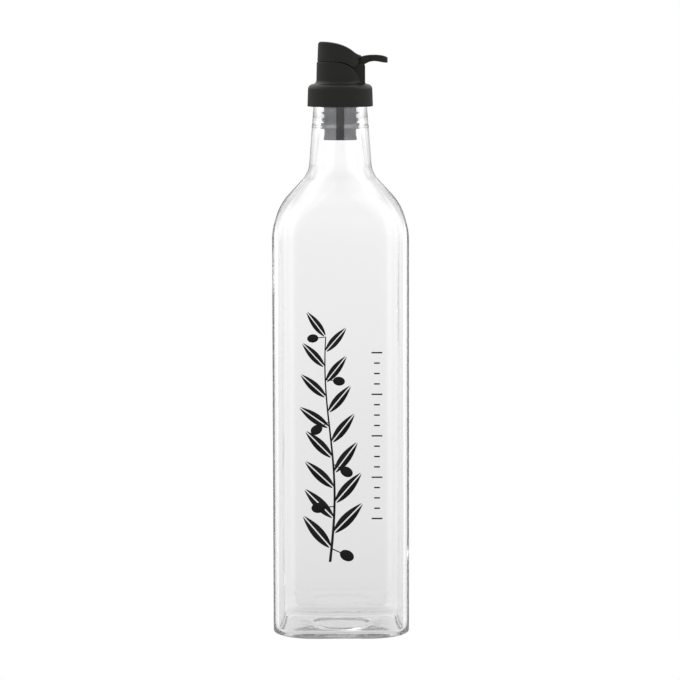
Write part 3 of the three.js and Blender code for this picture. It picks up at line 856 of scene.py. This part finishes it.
def spray_tree():
    """Instances of one motif along a line, leaning left and right by turns."""
    tree, given = tree_with("spray", "GeometryNodeTree", [
        ("Line", "Geometry"), ("Motif", "Object"), ("Count", "Int"), ("Lean", "Float"),
        ("First Side", "Int"), ("Foot Size", "Float"), ("Tip Size", "Float"), ("Unevenness", "Float"),
        ("Seed", "Int"), ("Material", "Material")], [("Spray", "Geometry")])
    line = put(tree, "GeometryNodeMeshToCurve", Mesh=given["Line"]).outputs[0]
    line = put(tree, "GeometryNodeResampleCurve", {"mode": "COUNT"}, Curve=line, Count=given["Count"])
    tangent = put(tree, "GeometryNodeInputTangent").outputs[0]
    across, _, up = put(tree, "ShaderNodeSeparateXYZ", i0=tangent).outputs
    index = put(tree, "GeometryNodeInputIndex").outputs[0]
    turn = maths(tree, "MODULO", maths(tree, "ADD", index, given["First Side"]), 2)
    side = maths(tree, "MULTIPLY_ADD", turn, 2, -1)
    spread = put(tree, "FunctionNodeRandomValue", Seed=given["Seed"]).outputs[1]
    lean = maths(tree, "MULTIPLY_ADD", spread, given["Unevenness"], given["Lean"])
    angle = maths(tree, "ADD", maths(tree, "ARCTAN2", across, up), maths(tree, "MULTIPLY", side, lean))
    share = put(tree, "GeometryNodeSplineParameter").outputs["Factor"]
    size = ranged(tree, share, given["Foot Size"], given["Tip Size"])
    motif = put(tree, "GeometryNodeObjectInfo", Object=given["Motif"]).outputs["Geometry"]
    turned_to = put(tree, "ShaderNodeCombineXYZ", Y=angle).outputs[0]
    sized = put(tree, "ShaderNodeCombineXYZ", X=size, Y=1.0, Z=size).outputs[0]
    spray = put(tree, "GeometryNodeInstanceOnPoints", Points=line.outputs[0], Instance=motif,
                Rotation=turned_to, Scale=sized).outputs[0]
    end_tree(tree, spray, given["Material"])
    return tree


def marks_tree():
    """A column of level marks, every fourth one long."""
    tree, given = tree_with("level_marks", "GeometryNodeTree", [
        ("Mark", "Geometry"), ("Count", "Int"), ("First", "Vector"), ("Step", "Vector"),
        ("Short Share", "Float"), ("Material", "Material")], [("Marks", "Geometry")])
    column = put(tree, "GeometryNodeMeshLine", Count=given["Count"], Start_Location=given["First"],
                 Offset=given["Step"]).outputs[0]
    index = put(tree, "GeometryNodeInputIndex").outputs[0]
    short = maths(tree, "GREATER_THAN", maths(tree, "MODULO", index, 4), 0.5)
    width = ranged(tree, short, 1.0, given["Short Share"])
    size = put(tree, "ShaderNodeCombineXYZ", X=width, Y=1.0, Z=1.0).outputs[0]
    marks = put(tree, "GeometryNodeInstanceOnPoints", Points=column, Instance=given["Mark"],
                Scale=size).outputs[0]
    end_tree(tree, marks, given["Material"])
    return tree


def front_print():
    enamel = black_enamel()
    tree, leaf_shape, fruit_shape = spray_tree(), leaf(), fruit()
    leaves = grown(stem_line(), tree, Motif=leaf_shape, Count=LEAF_COUNT, Lean=LEAF_ANGLE, First_Side=0,
                   Foot_Size=1.0, Tip_Size=0.72, Unevenness=0.2, Seed=4, Material=enamel)
    fruits = grown(stem_line(), tree, Motif=fruit_shape, Count=FRUIT_COUNT, Lean=FRUIT_ANGLE, First_Side=1,
                   Foot_Size=1.05, Tip_Size=0.8, Unevenness=0.5, Seed=9, Material=enamel)
    for shape in (leaf_shape, fruit_shape):
        bpy.data.objects.remove(shape)
    sprig = joined("sprig", [leaves, fruits, stem()])
    finished(sprig, "print_sprig", "cruet", enamel)
    half = MARK_LONG / 2
    mark = slab_y([(-half, 0), (half, 0), (half, MARK_STROKE), (-half, MARK_STROKE)],
                  -PRINT_THICKNESS, 0, "mark")
    marks = grown(mark, marks_tree(), Count=MARKS_COUNT, First=(MARKS_X, PRINT_FACE_Y, MARKS_LOW_Z),
                  Step=(0, 0, MARKS_STEP), Short_Share=MARK_SHORT / MARK_LONG, Material=enamel)
    finished(marks, "print_level_marks", "cruet", enamel)


# Finishes

GLASS_TINT = (0.5, 0.508, 0.505, 1)
GLASS_DENSITY = 12.0
COAT_IOR = 1.7
# Painted glow of the glass where rays are held in it by many reflections or bounces.
PAINTED_HELD_GLOW_LEVEL = 0.2
HELD_AFTER_REFLECTIONS = 3.5
HELD_AFTER_BOUNCES = 11.5
PLUG_FROM_Z, PLUG_TO_Z = 277, 308
# Painted lines across the plug: dark painted shade lines at 283.2-284.1 and 288.3-289.4, and a pale teal
# painted highlight line at 284.2-285.
PAINTED_PLUG_SHADE_AND_HIGHLIGHT_LINES = ((((283.2, 0), (283.4, 1), (283.9, 1), (284.1, 0)), (0.002, 0.002, 0.002)),
              (((284.2, 0), (284.4, 1), (284.8, 1), (285, 0)), (0.85, 0.97, 0.97)),
              (((288.3, 0), (288.6, 0.9), (289.1, 0.9), (289.4, 0)), (0.03, 0.03, 0.032)))


def material_with(name):
    material = bpy.data.materials.new(name)
    material.use_nodes = True
    return material, material.node_tree, material.node_tree.nodes["Principled BSDF"]


def grain_group():
    """Fine moulded grain: a height and a tone that change over the surface."""
    if "moulded_grain" in bpy.data.node_groups:
        return bpy.data.node_groups["moulded_grain"]
    tree, given = tree_with("moulded_grain", "ShaderNodeTree",
                            [("Grain Size", "Float"), ("Blotch Size", "Float")],
                            [("Height", "Float"), ("Tone", "Float")])
    place = put(tree, "ShaderNodeTexCoord").outputs["Object"]
    fine = put(tree, "ShaderNodeTexNoise", Vector=place, Detail=3.0, Roughness=0.6,
               Scale=maths(tree, "DIVIDE", 1.0, given["Grain Size"])).outputs[0]
    blotch = put(tree, "ShaderNodeTexNoise", Vector=place, Detail=4.0,
                 Scale=maths(tree, "DIVIDE", 1.0, given["Blotch Size"])).outputs[0]
    put(tree, "NodeGroupOutput", Height=fine, Tone=blotch)
    return tree


def handling_group():
    """Faint smears from handling, as a mask from 0 to 1."""
    if "handling_marks" in bpy.data.node_groups:
        return bpy.data.node_groups["handling_marks"]
    tree, given = tree_with("handling_marks", "ShaderNodeTree",
                            [("Smear Size", "Float"), ("Cover", "Float")], [("Mask", "Float")])
    place = put(tree, "ShaderNodeTexCoord").outputs["Object"]
    stretched = put(tree, "ShaderNodeMapping", Vector=place, Scale=(1.0, 1.0, 0.4)).outputs[0]
    smear = put(tree, "ShaderNodeTexNoise", Vector=stretched, Detail=5.0, Distortion=0.8,
                Scale=maths(tree, "DIVIDE", 1.0, given["Smear Size"])).outputs[0]
    clean = maths(tree, "SUBTRACT", 1.0, given["Cover"])
    put(tree, "NodeGroupOutput", Mask=ranged(tree, smear, start=clean))
    return tree


def grouped(tree, group, **values):
    return put(tree, "ShaderNodeGroup", {"node_tree": group}, **values).outputs


def colours(tree, value, low, high):
    ramp = put(tree, "ShaderNodeValToRGB", Fac=value)
    for element, place, colour in zip(ramp.color_ramp.elements, (0.3, 0.7), (low, high)):
        element.position, element.color = place, (*colour, 1)
    return ramp.outputs[0]


def bumped(tree, height, strength, distance):
    return put(tree, "ShaderNodeBump", Strength=strength, Distance=distance, Height=height).outputs[0]


def painted_held_glow(tree):
    """Painted glow: the glass emits a low level where a ray has reflected inside it many times, standing
    in for light that would stay in the glass until the renderer drops it.
    """
    path = put(tree, "ShaderNodeLightPath").outputs
    turned_in = maths(tree, "GREATER_THAN", path["Glossy Depth"], HELD_AFTER_REFLECTIONS)
    long = maths(tree, "GREATER_THAN", path["Ray Depth"], HELD_AFTER_BOUNCES)
    return maths(tree, "MULTIPLY", maths(tree, "MAXIMUM", turned_in, long), PAINTED_HELD_GLOW_LEVEL)


def clear_glass():
    material, tree, shader = material_with("clear_glass")
    smears = grouped(tree, handling_group(), Smear_Size=0.03, Cover=0.42)["Mask"]
    coated = put(tree, "ShaderNodeAttribute", {"attribute_name": "outside"}).outputs["Fac"]
    # The glass has a painted glow through its emission strength for rays held inside it.
    give(tree, shader, Base_Color=(1, 1, 1, 1), Transmission_Weight=1.0, IOR=1.5,
         Roughness=ranged(tree, smears, 0.0, 0.03), Coat_Weight=coated, Coat_Roughness=0.0,
         Coat_IOR=COAT_IOR, Emission_Strength=painted_held_glow(tree))
    material.cycles.emission_sampling = "NONE"
    depth = put(tree, "ShaderNodeVolumeAbsorption", Color=GLASS_TINT, Density=GLASS_DENSITY)
    give(tree, tree.nodes["Material Output"], Volume=depth.outputs[0])
    return material


def painted_plug_line(tree, tone, stops, colour):
    """Paints a line of shade or highlight across the plug, from (height, level) stops."""
    place = put(tree, "ShaderNodeTexCoord").outputs["Object"]
    height = put(tree, "ShaderNodeSeparateXYZ", i0=place).outputs[2]
    mask = ramped(tree, height, PLUG_FROM_Z * MM, PLUG_TO_Z * MM, [(z * MM, level) for z, level in stops])
    return put(tree, "ShaderNodeMix", {"data_type": "RGBA"}, i0=mask, i6=tone, i7=(*colour, 1)).outputs[2]


def grey_plastic():
    material, tree, shader = material_with("grey_plastic")
    grain = grouped(tree, grain_group(), Grain_Size=0.0006, Blotch_Size=0.006)
    tone = colours(tree, grain["Tone"], (0.17, 0.17, 0.18), (0.21, 0.21, 0.22))
    # Painted shade lines and a painted highlight line go over the plug's tone.
    for stops, colour in PAINTED_PLUG_SHADE_AND_HIGHLIGHT_LINES:
        tone = painted_plug_line(tree, tone, stops, colour)
    give(tree, shader, Base_Color=tone, Transmission_Weight=1.0, IOR=1.06,
         Roughness=ranged(tree, grain["Height"], 0.08, 0.2),
         Normal=bumped(tree, grain["Height"], 0.15, 0.0001))
    return material


def dark_tube():
    material, tree, shader = material_with("dark_tube")
    grain = grouped(tree, grain_group(), Grain_Size=0.0004, Blotch_Size=0.004)
    give(tree, shader,
         Base_Color=colours(tree, grain["Tone"], (0.012, 0.01, 0.012), (0.03, 0.026, 0.029)),
         Roughness=ranged(tree, grain["Height"], 0.35, 0.55),
         Normal=bumped(tree, grain["Height"], 0.2, 0.0001))
    return material


def black_plastic():
    if "black_plastic" in bpy.data.materials:
        return bpy.data.materials["black_plastic"]
    material, tree, shader = material_with("black_plastic")
    grain = grouped(tree, grain_group(), Grain_Size=0.00035, Blotch_Size=0.005)
    smears = grouped(tree, handling_group(), Smear_Size=0.006, Cover=0.5)["Mask"]
    give(tree, shader,
         Base_Color=colours(tree, grain["Tone"], (0.0025, 0.0025, 0.0024), (0.0045, 0.0045, 0.0042)),
         Roughness=ranged(tree, smears, 0.2, 0.34), Sheen_Weight=0.12, Sheen_Roughness=0.25,
         Normal=bumped(tree, grain["Height"], 0.08, 0.0001))
    return material


def black_enamel():
    """Printed enamel, clear to reflected rays, so that no ghost of it shows in the back wall."""
    material, tree, shader = material_with("black_enamel")
    grain = grouped(tree, grain_group(), Grain_Size=0.0005, Blotch_Size=0.012)
    depth = put(tree, "ShaderNodeLightPath").outputs["Glossy Depth"]
    give(tree, shader,
         Base_Color=colours(tree, grain["Tone"], (0.004, 0.004, 0.004), (0.009, 0.009, 0.009)),
         Roughness=ranged(tree, grain["Height"], 0.4, 0.6),
         Normal=bumped(tree, grain["Height"], 0.1, 0.00005),
         Alpha=maths(tree, "LESS_THAN", depth, 0.5))
    return material


# Stage: white floor, surroundings and camera, in metres

GROUND_SIDE = 6
GROUND_DROP = 0.0004
BACKDROP_FROM, BACKDROP_TO = -1, 1
BACKDROP_TOP = 1.3
BACKDROP = ((-1, 0.64), (-0.25, 0.78), (-0.186, 0.805), (-0.154, 0.865), (-0.123, 0.89), (-0.092, 0.94),
            (-0.08, 0.955), (-0.068, 0.975), (-0.06, 1.015), (-0.05, 1.06), (-0.03, 1.06), (-0.01, 1.1),
            (0.05, 1.12), (0.15, 0.7))
BACKDROP_FLANK = 1.06
FLANK_FROM, FLANK_TO = 0.014, 0.09
FLARE_FROM, FLARE_TO = 0.35, 0.55
FLARE_END, FLARE_GONE = 0.8, 0.97
FLARE = 1.35
MIRROR_LOW, MIRROR_HIGH, MIRROR_FRONT = 0.24, 1.0, 0.33
MIRROR_FROM, MIRROR_TO = 0.0, 0.35
FRONT_FULL, FRONT_GONE = -0.5, 0.3
CAMERA_PLACE = (-0.0004, -1.8, 0.35286)
CAMERA_PITCH = math.radians(5.98)
CAMERA_ROLL = math.radians(0.13)
CAMERA_LENS = 169.57
CAMERA_SENSOR = 36
CAMERA_NEAR = 0.01


def floor():
    """A white floor that only the camera sees, so the glass has no horizon in it."""
    mesh = bpy.data.meshes.new("floor")
    half = GROUND_SIDE / 2
    corners = [(-half, -half, 0), (half, -half, 0), (half, half, 0), (-half, half, 0)]
    mesh.from_pydata(corners, [], [(0, 1, 2, 3)])
    piece = placed("floor", mesh)
    piece.location.z = -GROUND_DROP
    piece.visible_diffuse = piece.visible_glossy = piece.visible_transmission = False
    piece.visible_shadow = False
    material = bpy.data.materials.new("white_floor")
    material.use_nodes = True
    tree = material.node_tree
    tree.nodes.clear()
    white = put(tree, "ShaderNodeEmission", Color=(1, 1, 1, 1), Strength=1.0).outputs[0]
    put(tree, "ShaderNodeOutputMaterial", Surface=white)
    mesh.materials.append(material)


def smooth(tree, value, start, end, low, high):
    return ranged(tree, value, low, high, start, end, "SMOOTHSTEP")


def backdrop(tree, across, height):
    """Brightness of the backdrop, which falls off towards the table and flares out at the sides."""
    stops = [(place, level / BACKDROP_TOP) for place, level in BACKDROP]
    level = maths(tree, "MULTIPLY", ramped(tree, height, BACKDROP_FROM, BACKDROP_TO, stops), BACKDROP_TOP)
    across = maths(tree, "ABSOLUTE", across)
    for start, end, high in ((FLANK_FROM, FLANK_TO, BACKDROP_FLANK), (FLARE_FROM, FLARE_TO, FLARE),
                             (FLARE_END, FLARE_GONE, 1 / FLARE)):
        level = maths(tree, "MULTIPLY", level, smooth(tree, across, start, end, 1.0, high))
    return level


def room():
    """White to the camera. Through the glass it is the backdrop, and in reflections it is dimmer."""
    world = bpy.data.worlds.new("studio")
    bpy.context.scene.world = world
    world.use_nodes = True
    tree = world.node_tree
    tree.nodes.clear()
    way = put(tree, "ShaderNodeTexCoord").outputs["Generated"]
    across, along, height = put(tree, "ShaderNodeSeparateXYZ", i0=way).outputs
    behind = smooth(tree, height, MIRROR_FROM, MIRROR_TO, MIRROR_LOW, MIRROR_HIGH)
    facing = smooth(tree, along, FRONT_FULL, FRONT_GONE, 1.0, 0.0)
    mirrored = mixed(tree, facing, behind, MIRROR_FRONT)
    path = put(tree, "ShaderNodeLightPath").outputs
    level = mixed(tree, path["Is Transmission Ray"], mirrored, backdrop(tree, across, height))
    strength = mixed(tree, path["Is Camera Ray"], level, 1.0)
    back = put(tree, "ShaderNodeBackground", Color=(1, 1, 1, 1), Strength=strength).outputs[0]
    put(tree, "ShaderNodeOutputWorld", Surface=back)


def camera():
    lens = bpy.data.cameras.new("camera")
    lens.lens, lens.sensor_width = CAMERA_LENS, CAMERA_SENSOR
    lens.clip_start = CAMERA_NEAR
    eye = placed("camera", lens)
    tilt = Matrix.Rotation(math.pi / 2 - CAMERA_PITCH, 4, "X") @ Matrix.Rotation(-CAMERA_ROLL, 4, "Z")
    eye.matrix_world = Matrix.Translation(CAMERA_PLACE) @ tilt
    bpy.context.scene.camera = eye


bottle()
stopper()
pour_tube()
pourer()
lid()
front_print()
floor()
room()
camera()
bpy.context.scene.view_settings.view_transform = "Standard"
